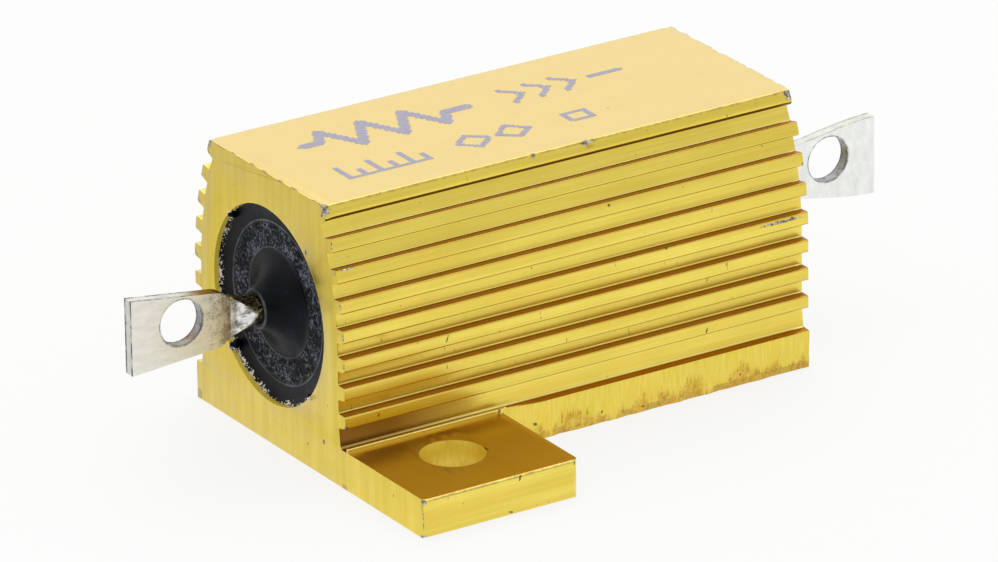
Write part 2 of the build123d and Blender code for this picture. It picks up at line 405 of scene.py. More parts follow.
    # short nicks across the fins, where other parts knocked against them
    nickDepth = put("MapRange", nickNoise, *gold["nickShare"])
    onFins = put("Math.MULTIPLY", alongY, unsheared)
    colour = layOver(put, colour, gold["nick"], nickDepth, onFins, 0.7)

    # the ring rubbed on part of the ends, and painted light on the walls of the bore's mouth and the
    # fixing holes, which lie in shade; these walls are also rougher and less metallic
    radius = fromLine(put, place, (0, 0, axisZ), (0, 1, 1))[1]
    ring = put("Math.COMPARE", radius, gold["witnessRadius"], 0.03)
    ringPart = put("MapRange", cloud, 0.48, 0.62, 0.0, 0.22)
    colour = layOver(put, colour, gold["torn"], ring, ringPart, sawn)
    inBore = put("Math.LESS_THAN", radius, boreRadius + 0.03)
    holeWallLight = put("Math.MULTIPLY", inHole, 0.36)
    boreWallLight = put("Math.MULTIPLY", inBore, 0.85)
    paintedWallLight = put("Math.MAXIMUM", holeWallLight, boreWallLight)
    colour = put("Mix.RGBA", paintedWallLight, colour, gold["paintedWallLight"])

    # bare metal: the nearest scuff, or a sawn corner, broken up by the patches
    corner = put("MapRange", alongX, 0.25, 0.5)
    notFlat = put("MapRange", alongX, 0.97, 0.9)
    turning = put("Math.MULTIPLY", corner, notFlat)
    edge = put("Math.MULTIPLY", turning, atEnd)
    nearest = put("Math.MULTIPLY_ADD", edge, 0.9, -0.56)
    for middle, half, _ in scuffs:
        away = fromMiddle(put, place, middle, half)
        inside = put("Math.SUBTRACT", 1.0, away)
        nearest = put("Math.MAXIMUM", nearest, inside)
    ragged = put("MapRange", patches, 0.3, 0.7, -0.40, 0.40)
    worn = put("Math.ADD", nearest, ragged)
    bare = put("MapRange", worn, 0.20, 0.40)
    metal = put("ValToRGB", chips, stops=[
        (0.38, "#3C3428"), (0.48, "#8B8578"), (0.56, "#B9B4A8"), (0.66, "#EFECE2"),
    ])
    colour = put("Mix.RGBA", bare, colour, metal)

    # painted shade: a darker, ragged line along the top's and the flanges' long edges, damping their
    # highlight
    edgeShadeFacing = put("MapRange", facing[2], 0.985, 0.88)
    edgeShadeSide = put("MapRange", facing[2], 0.08, 0.3)
    edgeShade = put("Math.MULTIPLY", edgeShadeFacing, edgeShadeSide)
    atRim = put("Math.GREATER_THAN", outY, gold["flangeRim"])
    edgeShadePlaces = put("Math.MAXIMUM", high, atRim)
    edgeShadeOn = put("Math.MULTIPLY", edgeShade, edgeShadePlaces)
    paintedEdgePart = put("MapRange", patches, 0.38, 0.68, 0.0, 0.65)
    nearEnd = put("Math.GREATER_THAN", outX, endX - 0.12)
    edgeShadeMore = put("Math.MULTIPLY_ADD", nearEnd, 0.6, paintedEdgePart, use_clamp=True)
    colour = layOver(put, colour, gold["edgeShade"], edgeShadeOn, edgeShadeMore)

    # grime in the pits
    pitNear = None
    for middle, size in pits:
        away = fromMiddle(put, place, middle, size, (0.3, 0.35, 0))
        inside = put("MapRange", away, 1.3, 0.5)
        if pitNear:
            inside = put("Math.MAXIMUM", pitNear, inside)
        pitNear = inside
    pitRim = put("MapRange", chips, 0.35, 0.65, -0.45, 0.45)
    pitRagged = put("Math.ADD", pitNear, pitRim)
    inPit = put("Math.GREATER_THAN", pitNear, 0.05)
    pitShade = put("MapRange", pitRagged, 0.40, 0.75, 0.0, 0.85)
    colour = layOver(put, colour, gold["grime"], pitShade, inPit)

    # relief
    lineShare = put("Math.MULTIPLY", dieLines, unsheared)
    lineHeight = put("Bump", {"Height": lineShare, "Distance": gold["lineDepth"] * mm})
    grainHeight = put("Bump", {"Height": grain, "Distance": gold["grainDepth"] * mm, "Normal": lineHeight})
    streakShare = put("Math.MULTIPLY", streaks, sheared)
    streakHeight = put("Bump", {
        "Height": streakShare, "Distance": gold["streakDepth"] * mm, "Normal": grainHeight,
    })
    tornDepth = put("Math.MULTIPLY_ADD", torn, 0.3, bare)
    roughened = put("Math.MULTIPLY", tornDepth, patches)
    pitHeight = put("Bump", {
        "Height": roughened, "Distance": gold["pitDepth"] * mm, "Normal": streakHeight,
    }, invert=True)
    cutFaces = put("Math.MAXIMUM", sawn, sheared)
    satin = put("MapRange", cutFaces, 0.0, 1.0, gold["roughness"], gold["roughness"] + 0.12)
    frosted = put("Mix", paintedWallLight, satin, 0.6)
    plain = put("Math.MULTIPLY", cutFaces, 0.5)
    matt = put("Math.MAXIMUM", ledge, under)
    covered = put("Math.MAXIMUM", plain, matt)
    clear = put("Math.SUBTRACT", 1.0, covered)
    metallic = put("MapRange", paintedWallLight, 0.0, 0.85, 1.0, 0.0)
    return finishMaterial(material, put, {
        "Base Color": colour, "Metallic": metallic, "Roughness": frosted, "Normal": pitHeight,
        "Coat Weight": clear, "Coat Roughness": 0.25, "Coat IOR": gold["oxideIor"],
    })


housing = {
    "edgeRound": 0.03,
    "station": 0.6,            # between the cross cuts that let the long edges waver
    "waver": 0.008,
    "raggedStep": 0.22,        # along the sawn end's top corner
    "ragged": 0.06,
    "shearRise": 0.04,         # how far the sheared bottom edge lifts here and there
    "lipTail": 0.20,           # what the shear left of the lip next to the flange
    "lipTailLength": 2.2,
    "flangeEnd": 4.65,
    "nearEnd": 0.12,           # cross cuts beside the sawn ends
    "topHalf": 4.9,            # half width of the middle strip of the top, which stays flat
    "dentReach": 1.3,          # how far past its scuff a dent goes
    # under each top fin: its corner before rounding, then how far the underside rises, how far in it
    # goes for each millimetre up, how much larger the round grows, and where the fin's tip begins
    "topFinCorner": (5.619, 13.449),
    "topFinRise": 0.14,
    "topFinInward": 0.45,
    "topFinRound": 1.6,
    "topFinTip": (13.608, 14.193),
    "topFinFoot": (5.0, 13.1),       # nothing further in or lower down moves
    "topFinRoundFrom": 5.4,
    "finsFrom": (5.0, 2.3),    # out from the middle, and up, where the sides waver
    "shearStrips": (0.7, 1.6), # heights of the cuts across the sheared sides
}


def roundTopFins(bm):
    # thins the fins beside the printed face a little, and rounds their undersides more
    cornerY, cornerZ = housing["topFinCorner"]
    tipLow, tipHigh = housing["topFinTip"]
    footY, footZ = housing["topFinFoot"]
    rise, growth = housing["topFinRise"], housing["topFinRound"]
    slide = cornerZ + (tipLow - cornerZ) * growth + rise - tipLow
    for vert in bm.verts:
        side, y, z = math.copysign(1, vert.co.y), abs(vert.co.y), vert.co.z
        if y < footY or z < footZ or z > tipHigh:
            continue
        up = rise
        if z > tipLow + 0.005:
            up = slide * (tipHigh - z) / (tipHigh - tipLow)
        elif y > housing["topFinRoundFrom"]:
            y = cornerY + (y - cornerY) * growth
            z = cornerZ + (z - cornerZ) * growth
        vert.co.y = side * (y - up * housing["topFinInward"])
        vert.co.z = z + up


def makeHousing():
    bm = mergedCopy("housing")
    roundTopFins(bm)
    stations = [-endX + housing["station"] * step for step in range(1, int(2 * endX / housing["station"]))]
    for middle, half, dent in scuffs:
        if dent:
            stations += [middle[0] + half[0] * share for share in (-1, -0.6, -0.3, 0, 0.3, 0.6, 1)]
    stations += [-endX + housing["nearEnd"], endX - housing["nearEnd"]]
    for x in sorted(stations):
        if abs(x) < endX - 0.06:
            cut(bm, (x, 0, 0), (1, 0, 0))

    # strips beside the corners, so that a dent stays near its corner
    def onTop(face):
        return face.normal.z > 0.9 and face.calc_center_median().z > topZ - 0.2

    def topAtEnd(face):
        return onTop(face) and abs(face.calc_center_median().x) > endX - housing["nearEnd"]

    def onShear(face):
        middle = face.calc_center_median()
        return abs(face.normal.y) > 0.9 and abs(abs(middle.y) - shearY) < 0.05 and middle.z < flangeZ

    for side in (-1, 1):
        cut(bm, (0, side * housing["topHalf"], 0), (0, 1, 0), onTop)
    for step in range(1, int(2 * housing["topHalf"] / housing["raggedStep"])):
        cut(bm, (0, step * housing["raggedStep"] - housing["topHalf"], 0), (0, 1, 0), topAtEnd)
    for height in housing["shearStrips"]:
        cut(bm, (0, 0, height), (0, 0, 1), onShear)
    finsY, finsZ = housing["finsFrom"]
    for vert in bm.verts:
        x, y, z = vert.co
        side = 1 if y > 0 else -1
        if abs(y) > finsY and z > finsZ:
            vert.co.y += side * housing["waver"] * noise.noise(Vector((x * 0.4, z * 0.7, side * 3.0)))
        if abs(x) > endX - 0.02 and z > topZ - 0.02:
            chip = max(0.0, noise.noise(Vector((x, y * 2.3, 1.0))) + 0.1)
            vert.co.z -= housing["ragged"] * chip
            vert.co.x -= math.copysign(housing["ragged"] * chip, x)
        if abs(abs(y) - shearY) < 0.02 and z < flangeZ + 0.01:
            alongShear = housing["flangeEnd"] - side * x
            if z < 0.75 and alongShear > 0:
                lift = max(0.0, noise.noise(Vector((x * 1.3, side * 2.0, 4.0))) + 0.5 * alongShear / endX)
                vert.co.y -= side * 0.05 * lift
                if z < 0.01:
                    vert.co.z += housing["shearRise"] * lift
            if z > flangeZ - 0.01 and 0 < alongShear:
                share = 1 - alongShear / housing["lipTailLength"]
                vert.co.z += housing["lipTail"] * max(0.0, share) - 0.03
        for middle, half, dent in scuffs:
            offset = Vector([(vert.co[i] - middle[i]) / half[i] for i in range(3)])
            if dent and offset.length < housing["dentReach"]:
                inward = Vector((-middle[0] * 0.15, -middle[1], axisZ - middle[2]))
                fall = (1 - offset.length / housing["dentReach"]) ** 0.7
                wobble = 0.7 + 0.6 * noise.noise(vert.co * 4.0)
                push = inward.normalized() * dent * fall * wobble
                if abs(x) < endX - 1 and z > topZ - 0.05:
                    push.z = 0      # along the top's long edges the top itself stays flat
                vert.co += push
    piece = addPiece("finnedHousing", bm, anodisedAluminium(), "housing")
    breakEdges(piece, housing["edgeRound"], 30)
    print("housing made")


marking = {
    "area": (20.4, 7.4),
    "middleX": -1.0,
    "dot": (0.15, 0.12),       # the marking machine's dots
    "lift": 0.004,
    # generic strokes in the places of the printed lines: width, then the points that each one joins
    "strokes": [
        # a resistor's zigzag with its leads
        (0.50, [(-10.3, 1.8), (-9.3, 1.8), (-8.7, 3.0), (-7.5, 0.6), (-6.3, 3.0), (-5.1, 0.6), (-3.9, 3.0),
                (-2.7, 0.6), (-2.1, 1.8), (-0.8, 1.8)]),
        # a bar, the scale's base line and a block
        (0.34, [(6.3, 1.8), (8.1, 1.8)]), (0.24, [(-10.45, -2.94), (-5.95, -2.94)]),
        (0.26, [(2.5, -1.7), (3.7, -1.7), (3.7, -2.7), (2.5, -2.7), (2.5, -1.7)]),
    ],
}
marks = marking["strokes"]
# arrowheads, the scale's long and short ticks, and lozenges
marks += [(0.30, [(x, 2.7), (x + 0.9, 1.8), (x, 0.9)]) for x in (1.5, 3.0, 4.5)]
marks += [(0.24, [(x, -2.94), (x, -1.5)]) for x in (-10.45, -8.65, -6.85)]
marks += [(0.24, [(x, -2.94), (x, -2.2)]) for x in (-9.55, -7.75, -5.95)]
for x in (-3.9, -1.6):
    marks.append((0.26, [(x, -2.2), (x + 0.9, -1.4), (x + 1.8, -2.2), (x + 0.9, -3.0), (x, -2.2)]))


def markingInk():
    # pad of grey-violet marking ink: matt, thin enough at its dots' edges to look mottled
    material, put, place = newMaterial("markingInk")[:3]
    mottle = put("TexNoise", place, 7.0, 3.0)
    colour = put("ValToRGB", mottle, stops=[(0.3, "#9E9AAE"), (0.7, "#B4B0C0")])
    return finishMaterial(material, put, {"Base Color": colour, "Roughness": 0.6})


def strokeDistance(point, start, end):
    along = end - start
    share = max(0.0, min(1.0, (point - start).dot(along) / along.length_squared))
    return (point - start - along * share).length


def makeMarking():
    dotX, dotY = marking["dot"]
    long, wide = marking["area"]
    columns, rows = int(long / dotX), int(wide / dotY)
    bm = bmesh.new()
    bmesh.ops.create_grid(bm, x_segments=columns, y_segments=rows, size=0.5)
    bmesh.ops.scale(bm, vec=(columns * dotX, rows * dotY, 1), verts=bm.verts)
    bmesh.ops.translate(bm, vec=(marking["middleX"], 0, topZ + marking["lift"]), verts=bm.verts)
    strokes = []
    for width, points in marks:
        ends = [Vector(point) for point in points]
        strokes += [(start, end, width) for start, end in zip(ends, ends[1:])]
    blank = []
    for face in bm.faces:
        point = face.calc_center_median().xy
        if not any(strokeDistance(point, start, end) < width / 2 for start, end, width in strokes):
            blank.append(face)
    bmesh.ops.delete(bm, geom=blank, context="FACES")
    addPiece("printedMarks", bm, markingInk())
    print("marking made")


moulding = {
    "rimSink": 0.33,
    "ringSink": 0.54,
    "ringOuter": 4.1,
    "ringInner": 2.8,
    "coneSink": 0.62,
    "coneDip": 0.30,           # how hollow the cone is, and which way it dips
    "dipToward": (0.76, 0.65),
    "coneSteps": 9,
    "collar": 1.0,
    "insidePin": 0.70,
    "steps": 240,
    "grain": 0.045,            # height of the cast grit on the ring
    "gritDepth": 0.06,         # and of its finer part
    "flashToward": (0, 0.72, -0.69),
    "tabs": [(46, 0.28), (317, 0.40), (225, 0.20)],    # flash on the end face: angle from +Y, size
    "tabSink": 0.26,
}


def siliconeMoulding():
    # black moulding compound: smooth and faintly glossy on the rim and cone, gritty on the ring,
    # where the high grains have picked up pale dust, and ragged white flash along part of its rim
    material, put, place = newMaterial("siliconeMoulding")[:3]
    outward, radius = fromLine(put, place, (0, 0, axisZ), (0, 1, 1))
    inner, outer = moulding["ringInner"], moulding["ringOuter"]
    half = (outer - inner) / 2
    offRing = put("Math.SUBTRACT", radius, inner + half)
    offSize = put("Math.ABSOLUTE", offRing)
    onRing = put("MapRange", offSize, half + 0.02, half - 0.12)
    grit = put("TexNoise", place, 7.0, 3.0, 0.6)
    fine = put("TexNoise", place, 16.0, 3.0)
    dustCloud = put("TexNoise", place, 0.9, 5.0, 0.65)
    gritDust = put("Math.MULTIPLY_ADD", dustCloud, 0.7, grit)
    gritTone = put("ValToRGB", gritDust, stops=[
        (0.76, "#040508"), (0.83, "#1A1C22"), (0.92, "#40434B"), (1.04, "#6C7077"),
    ])
    dustLow = put("VectorMath.DISTANCE", place, (-endX, -1.9, axisZ - 2.0))
    dustNear = put("MapRange", dustLow, 1.7, 0.4, 0.0, 0.16)
    dusty = put("Math.ADD", dustNear, dustCloud)
    smoothTone = put("ValToRGB", dusty, stops=[(0.45, "#04060D"), (0.60, "#080B16"), (0.80, "#2A2D38")])
    colour = put("Mix.RGBA", onRing, smoothTone, gritTone)
    # painted highlight: pale grey over part of the rims of the ring and of the collar
    outerEdge = put("Math.COMPARE", radius, outer + 0.04, 0.05)
    innerEdge = put("Math.COMPARE", radius, inner - 0.02, 0.03)
    collarEdge = put("Math.COMPARE", radius, moulding["collar"] - 0.03, 0.05)
    edges = put("Math.MAXIMUM", outerEdge, innerEdge)
    edges = put("Math.MAXIMUM", edges, collarEdge)
    paintedEdgePart = put("MapRange", dustCloud, 0.35, 0.65, 0.15, 0.8)
    colour = layOver(put, colour, "#6A6E76", edges, paintedEdgePart)
    turned = put("VectorMath.NORMALIZE", outward)
    flashSide = put("VectorMath.DOT_PRODUCT", turned, moulding["flashToward"])
    flashPart = put("MapRange", flashSide, -0.08, 0.12)
    flashClump = put("Math.MULTIPLY_ADD", dustCloud, 0.9, grit)
    flashReach = put("MapRange", flashClump, 0.92, 1.15, 0.04, -0.28)
    flashWidth = put("Math.MULTIPLY_ADD", flashPart, flashReach, boreRadius - 0.01)
    flash = put("Math.GREATER_THAN", radius, flashWidth)
    flashTone = put("ValToRGB", fine, stops=[(0.40, "#B8B09A"), (0.55, "#F6F3EA")])
    colour = put("Mix.RGBA", flash, colour, flashTone)
    gritShare = put("Math.MULTIPLY", grit, onRing)
    coarse = put("Bump", {"Height": gritShare, "Distance": moulding["gritDepth"] * mm})
    relief = put("Bump", {"Height": fine, "Distance": 0.002 * mm, "Normal": coarse})
    rough = put("MapRange", onRing, 0.0, 1.0, 0.34, 0.6)
    return finishMaterial(material, put, {
        "Base Color": colour, "Roughness": rough, "IOR": 1.2, "Normal": relief,
    })


def makeMoulding():
    size = moulding
    tip = sealHigh.x
    base = endX - size["coneSink"]
    # half of the section, from the pin out to the bore: x and distance from the axis
    section = [(tip, size["insidePin"]), (tip, size["collar"] - 0.06), (tip - 0.06, size["collar"])]
    inner, outer = size["ringInner"], size["ringOuter"]
    dipX, dipR = size["dipToward"]
    for step in range(1, size["coneSteps"]):
        t = step / size["coneSteps"]
        dip = 4 * size["coneDip"] * t * (1 - t)
        x = tip + (base - tip) * t - dipX * dip
        section.append((x, size["collar"] + (inner - size["collar"]) * t - dipR * dip))
    section += [(base + 0.01, inner - 0.06), (base + 0.05, inner), (base + 0.01, inner + 0.05)]
    ringX = endX - size["ringSink"]
    section += [(ringX, outer - 0.04), (ringX + 0.05, outer + 0.03), (ringX + 0.02, outer + 0.12)]
    rimX = endX - size["rimSink"]
    section += [(rimX - 0.06, boreRadius - 0.20), (rimX, boreRadius - 0.05), (rimX + 0.05, boreRadius)]
    section.append((0, boreRadius))
    outline = section + [(-x, r) for x, r in reversed(section[:-1])]
    bm = bmesh.new()
    closedOutline(bm, [(x, 0, r) for x, r in outline])
    annulus = [
        edge for edge in bm.edges
        if min(vert.co.z for vert in edge.verts) > inner and max(vert.co.z for vert in edge.verts) < outer
    ]
    bmesh.ops.subdivide_edges(bm, edges=annulus, cuts=15)
    bmesh.ops.spin(bm, geom=bm.verts[:] + bm.edges[:], cent=(0, 0, 0), axis=(1, 0, 0), angle=math.tau,
                   steps=size["steps"], use_merge=True)
    bmesh.ops.remove_doubles(bm, verts=bm.verts, dist=0.0005)
    for vert in bm.verts:
        radius = math.hypot(vert.co.y, vert.co.z)
        out = math.copysign(1.0, vert.co.x)
        if inner + 0.06 < radius < outer - 0.05:
            height = noise.noise(vert.co * 5.0) + 0.7 * noise.noise(vert.co * 11.0)
            vert.co.x += out * size["grain"] * height
        elif radius > 1.1 and abs(vert.co.x) > 1:
            vert.co.x += out * 0.015 * noise.noise(vert.co * 1.2)
        if radius > boreRadius - 0.08 and abs(vert.co.x) > 1:
            creep = noise.noise(Vector((out * 5, vert.co.y * 0.8, vert.co.z * 0.8)))
            vert.co.x += out * 0.10 * max(0.0, creep)
    for angle, reach in size["tabs"]:
        for out in (-1, 1):
            turn = math.radians(angle if out < 0 else angle + 95)
            y, z = boreRadius * math.cos(turn), boreRadius * math.sin(turn)
            blob = bmesh.ops.create_icosphere(bm, subdivisions=3, radius=1.0)["verts"]
            bmesh.ops.scale(bm, vec=(0.34, reach, 0.7 * reach), verts=blob)
            for vert in blob:
                vert.co *= 1 + 0.35 * noise.noise(vert.co * 5 + Vector((angle, 0, 0)))
            turnAndMove(bm, blob, turn, "X", (out * (endX - size["tabSink"]), y, z))
    bmesh.ops.translate(bm, vec=(0, 0, axisZ), verts=bm.verts)
    bmesh.ops.recalc_face_normals(bm, faces=bm.faces)
    addPiece("mouldedSeal", bm, siliconeMoulding(), "moulding")
    print("moulding made")


terminals = {
    "left": {
        "node": "terminal_left", "out": -1, "lift": 0.9, "eyeletLift": 0.1, "spread": 0.0, "stain": True,
        "burr": 1.0, "wiped": (0.8, 3.0, 2.4), "dull": "#E6E8E6", "bright": "#FAFCFC",
    },
    "right": {
        "node": "terminal_right", "out": 1, "lift": 0.0, "eyeletLift": 0.0, "spread": 0.13, "stain": False,
        "burr": 0.4, "wiped": (2.0, 3.0, 0.9), "dull": "#E2E4DF", "bright": "#F6F7F3",
    },
}
lug = {
    "length": 5.7,
    "tipHalf": 1.95,
    "rootHalf": 1.35,
    "rootCorner": 0.95,
    "half": 0.325,
    "eyelet": 1.2,
    "eyeletFromTip": 2.8,
    "eyeletRise": 0.3,
    "pin": 0.75,
    "pinStart": 0.6,           # how far in from the body's end
    "beatenHalf": 1.05,        # half width of the pin where it has been beaten flat
    "beatenLength": 1.05,
    "bendFrom": 0.3,           # how far before the lug's root it bends
    "edgeRound": 0.04,
    "ridgeDepth": 0.12,        # of the wiped solder
}


def tinnedBrass(name, facts, rootX, eyeletX):
    # hot-tinned brass: silver-white satin, wiped in soft clouds, grey on its cut edges and in the
    # eyelet, and on one side flux that has baked on brown
    material, put, place, normal = newMaterial(name)
    out = facts["out"]
    at = put("SeparateXYZ", place).outputs
    facing = put("SeparateXYZ", normal).outputs
    away = put("Math.MULTIPLY", at[0], float(out))
    clouds = stretched(put, place, facts["wiped"], 5.0, 0.6)
    grain = put("TexNoise", place, 9.0, 4.0, 0.7)
    patches = put("TexNoise", place, 2.4, 6.0, 0.7)
    mottle = put("Math.MULTIPLY_ADD", grain, 0.5, clouds)
    colour = put("ValToRGB", mottle, stops=[(0.55, facts["dull"]), (0.95, facts["bright"])])

    # cut metal: the eyelet's wall, the thin edges and the line of burr round them
    eyelet = (out * eyeletX, 0, axisZ + lug["eyeletRise"] + facts["eyeletLift"])
    eyeletRadius = fromLine(put, place, eyelet, (1, 0, 1))[1]
    nearEyelet = put("MapRange", eyeletRadius, lug["eyelet"] + 0.12, lug["eyelet"] + 0.06)
    broad = put("Math.ABSOLUTE", facing[1])
    edgewise = put("MapRange", broad, 0.95, 0.6)
    inEyelet = put("Math.MULTIPLY", nearEyelet, edgewise)
    wallMottle = put("Math.MULTIPLY_ADD", grain, 0.4, patches)
    wallTone = put("ValToRGB", wallMottle, stops=[(0.62, "#3A3A46"), (0.68, "#A8AABC"), (0.75, "#FFFFFF")])
    colour = layOver(put, colour, wallTone, inEyelet, 0.9)
    edgePart = put("MapRange", clouds, 0.35, 0.65, 0.2, 0.75)
    colour = layOver(put, colour, "#BEBCAE", edgewise, edgePart)
    offSide = put("Math.ABSOLUTE", at[1])
    atBurr = put("Math.COMPARE", offSide, lug["half"] - 0.04, 0.09)
    burrEdge = put("Math.MULTIPLY", atBurr, edgewise)
    burrPart = put("MapRange", patches, 0.42, 0.52, 0.15 * facts["burr"], 0.9 * facts["burr"])
    colour = layOver(put, colour, "#4A4846", burrEdge, burrPart)
    atRim = put("Math.COMPARE", eyeletRadius, lug["eyelet"] + 0.02, 0.045)
    rimPart = put("MapRange", patches, 0.40, 0.60, 0.1, 0.75)
    colour = layOver(put, colour, "#54545C", atRim, rimPart)
    if facts["stain"]:
        fromRoot = put("MapRange", away, rootX + 2.4, rootX - 0.1, -0.25, 0.34)
        flux = put("Math.ADD", fromRoot, patches)
        spotted = put("MapRange", grain, 0.35, 0.65, -0.2, 0.2)
        flux = put("Math.ADD", flux, spotted)
        brown = put("MapRange", flux, 0.52, 0.84, 0.0, 0.8)
        onLug = put("MapRange", away, rootX - 0.25, rootX + 0.15)
        brownOn = put("Math.MULTIPLY", brown, onLug)
        brownTone = put("ValToRGB", grain, stops=[(0.42, "#4A3A18"), (0.58, "#A8843C")])
        colour = put("Mix.RGBA", brownOn, colour, brownTone)
        upper = put("MapRange", facing[2], 0.5, 0.9)
        nearRoot = put("MapRange", away, rootX + 2.8, rootX + 1.6)
        colour = layOver(put, colour, "#8A5F14", upper, nearRoot)
        burnPlace = put("MapRange", away, rootX - 0.7, rootX - 1.4, -0.3, 0.45)
        burnTop = put("MapRange", facing[2], 0.0, 0.8, 0.0, 0.5)
        burnSum = put("Math.MAXIMUM", burnPlace, burnTop)
        burnOn = put("MapRange", away, rootX + 0.4, rootX + 0.1)
        burnMix = put("Math.ADD", burnSum, patches)
        burn = put("MapRange", burnMix, 0.48, 0.70)
        burnt = put("Math.MULTIPLY", burn, burnOn)
        burnTone = put("ValToRGB", grain, stops=[(0.44, "#17140C"), (0.54, "#6A5222"), (0.62, "#D8CCA0")])
        colour = put("Mix.RGBA", burnt, colour, burnTone)
    # the wiped solder at the root stands in ridges
    ridges = stretched(put, place, (1.5, 2.0, 7.0), 3.0, turn=(0, 0.5, 0))
    onSolder = put("MapRange", away, rootX + 0.15, rootX - 0.1)
    ridged = put("Math.MULTIPLY", ridges, onSolder)
    furrow = put("MapRange", ridges, 0.49, 0.44, 0.0, 0.6)
    colour = layOver(put, colour, "#6E6A5C", furrow, onSolder)
    wipedHeight = put("Bump", {"Height": mottle, "Distance": 0.005 * mm})
    relief = put("Bump", {"Height": ridged, "Distance": lug["ridgeDepth"] * mm, "Normal": wipedHeight})
    rough = put("MapRange", patches, 0.3, 0.7, 0.32, 0.48)
    return finishMaterial(material, put, {
        "Base Color": colour, "Metallic": 1.0, "Roughness": rough, "Normal": relief,
    })


def makeTerminal(name, facts):
    box = [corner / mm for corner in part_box(facts["node"])]
    tip = box[1].x if facts["out"] > 0 else -box[0].x
    root = tip - lug["length"]
    bm = bmesh.new()
    # the flat lug: its outline, a ring of metal round the eyelet, then its thickness
    rootHalf, tipHalf = lug["rootHalf"], lug["tipHalf"]
    corners = [(root, -rootHalf), (tip, -tipHalf), (tip, tipHalf), (root, rootHalf)]
    outline = closedOutline(bm, [(x, -lug["half"], z) for x, z in corners])
    bmesh.ops.bevel(bm, geom=[outline[0], outline[3]], offset=lug["rootCorner"], offset_type="OFFSET",
                    segments=6, profile=0.5, affect="VERTICES", material=-1)
    long = [edge for edge in bm.edges if edge.calc_length() > 1.5]
    bmesh.ops.subdivide_edges(bm, edges=long, cuts=9)
    rim = bmesh.ops.create_circle(bm, segments=48, radius=lug["eyelet"])["verts"]
    eyeletX = tip - lug["eyeletFromTip"]
    turnAndMove(bm, rim, math.pi / 2, "X", (eyeletX, -lug["half"], lug["eyeletRise"]))
    bmesh.ops.bridge_loops(bm, edges=bm.edges[:])
    grown = bmesh.ops.extrude_face_region(bm, geom=bm.faces[:])["geom"]
    raised = [item for item in grown if isinstance(item, bmesh.types.BMVert)]
    bmesh.ops.translate(bm, vec=(0, 2 * lug["half"], 0), verts=raised)
    # the pin, beaten flat towards the lug
    ring = bmesh.ops.create_circle(bm, segments=48, radius=lug["pin"], cap_ends=True)["verts"]
    turnAndMove(bm, ring, math.pi / 2, "Y", (endX - lug["pinStart"], 0, 0))
    faces = [face for face in bm.faces if len(face.verts) == 48]
    beaten = root - lug["beatenLength"]
    for share in (0, 0.08, 0.2, 0.35, 0.5, 0.65, 0.8, 0.92, 1.0, 1.5):
        grown = bmesh.ops.extrude_face_region(bm, geom=faces)["geom"]
        ring = [item for item in grown if isinstance(item, bmesh.types.BMVert)]
        bmesh.ops.delete(bm, geom=faces, context="FACES_ONLY")
        faces = [item for item in grown if isinstance(item, bmesh.types.BMFace)]
        flat = min(share, 1.0)
        limit = lug["pin"] + (lug["half"] - 0.03 - lug["pin"]) * flat
        for vert in ring:
            angle = math.atan2(vert.co.z, vert.co.y)
            y = lug["pin"] * math.cos(angle)
            z = (lug["pin"] + (lug["beatenHalf"] - lug["pin"]) * flat) * math.sin(angle)
            vert.co = Vector((beaten + share * lug["beatenLength"], max(-limit, min(limit, y)), z))
    bmesh.ops.recalc_face_normals(bm, faces=bm.faces)
    # the lug isn't quite in line with the pin
    for vert in bm.verts:
        if vert.co.x > root - lug["bendFrom"]:
            vert.co.z += (vert.co.x - root + lug["bendFrom"]) * math.tan(math.radians(facts["lift"]) * 2)
            # one lug was beaten a little wider, most of all round its middle
            share = min(1.0, max(0.0, (vert.co.x - root) / lug["length"]))
            fromMiddle = abs(vert.co.z) - lug["eyelet"] - lug["eyeletRise"] - 0.02
            if fromMiddle > 0:
                taper, more = (1.15, 1.0) if vert.co.z > 0 else (0.7, 1.75)
                grown = facts["spread"] * more * (1.5 - taper * share ** 2) * min(1.0, 4 * share)
                vert.co.z += math.copysign(grown * min(1.0, 3 * fromMiddle), vert.co.z)
    if facts["out"] < 0:
        bmesh.ops.scale(bm, vec=(-1, 1, 1), verts=bm.verts)
        bmesh.ops.reverse_faces(bm, faces=bm.faces)
    bmesh.ops.translate(bm, vec=(0, 0, axisZ), verts=bm.verts)
    material = tinnedBrass(name + "Brass", facts, root, eyeletX)
    piece = addPiece(name, bm, material, facts["node"])
    breakEdges(piece, lug["edgeRound"], 40)


makeHousing()
makeMarking()
makeMoulding()
makeTerminal("solderLugLeft", terminals["left"])
makeTerminal("solderLugRight", terminals["right"])
print("terminals made")


def steatite():
    # fired steatite rod: off-white, faintly speckled, dull
    material, put, place = newMaterial("steatite")[:3]
    speckle = put("TexNoise", place, 5.0, 4.0)
    colour = put("ValToRGB", speckle, stops=[(0.35, "#D8D2C2"), (0.6, "#ECE7DA")])
    relief = put("Bump", {"Height": speckle, "Distance": 0.01 * mm})
    return finishMaterial(material, put, {"Base Color": colour, "Roughness": 0.65, "Normal": relief})


def drawnMetal(name, dark, pale, roughness):
    # drawn or pressed metal: fine lines round the part, a little darker in the lines
    material, put, place = newMaterial(name)[:3]
    lines = stretched(put, place, (10.0, 0.8, 0.8), 3.0)
    colour = put("ValToRGB", lines, stops=[(0.35, dark), (0.65, pale)])
    relief = put("Bump", {"Height": lines, "Distance": 0.003 * mm})
    return finishMaterial(material, put, {
        "Base Color": colour, "Metallic": 1.0, "Roughness": roughness, "Normal": relief,
    })


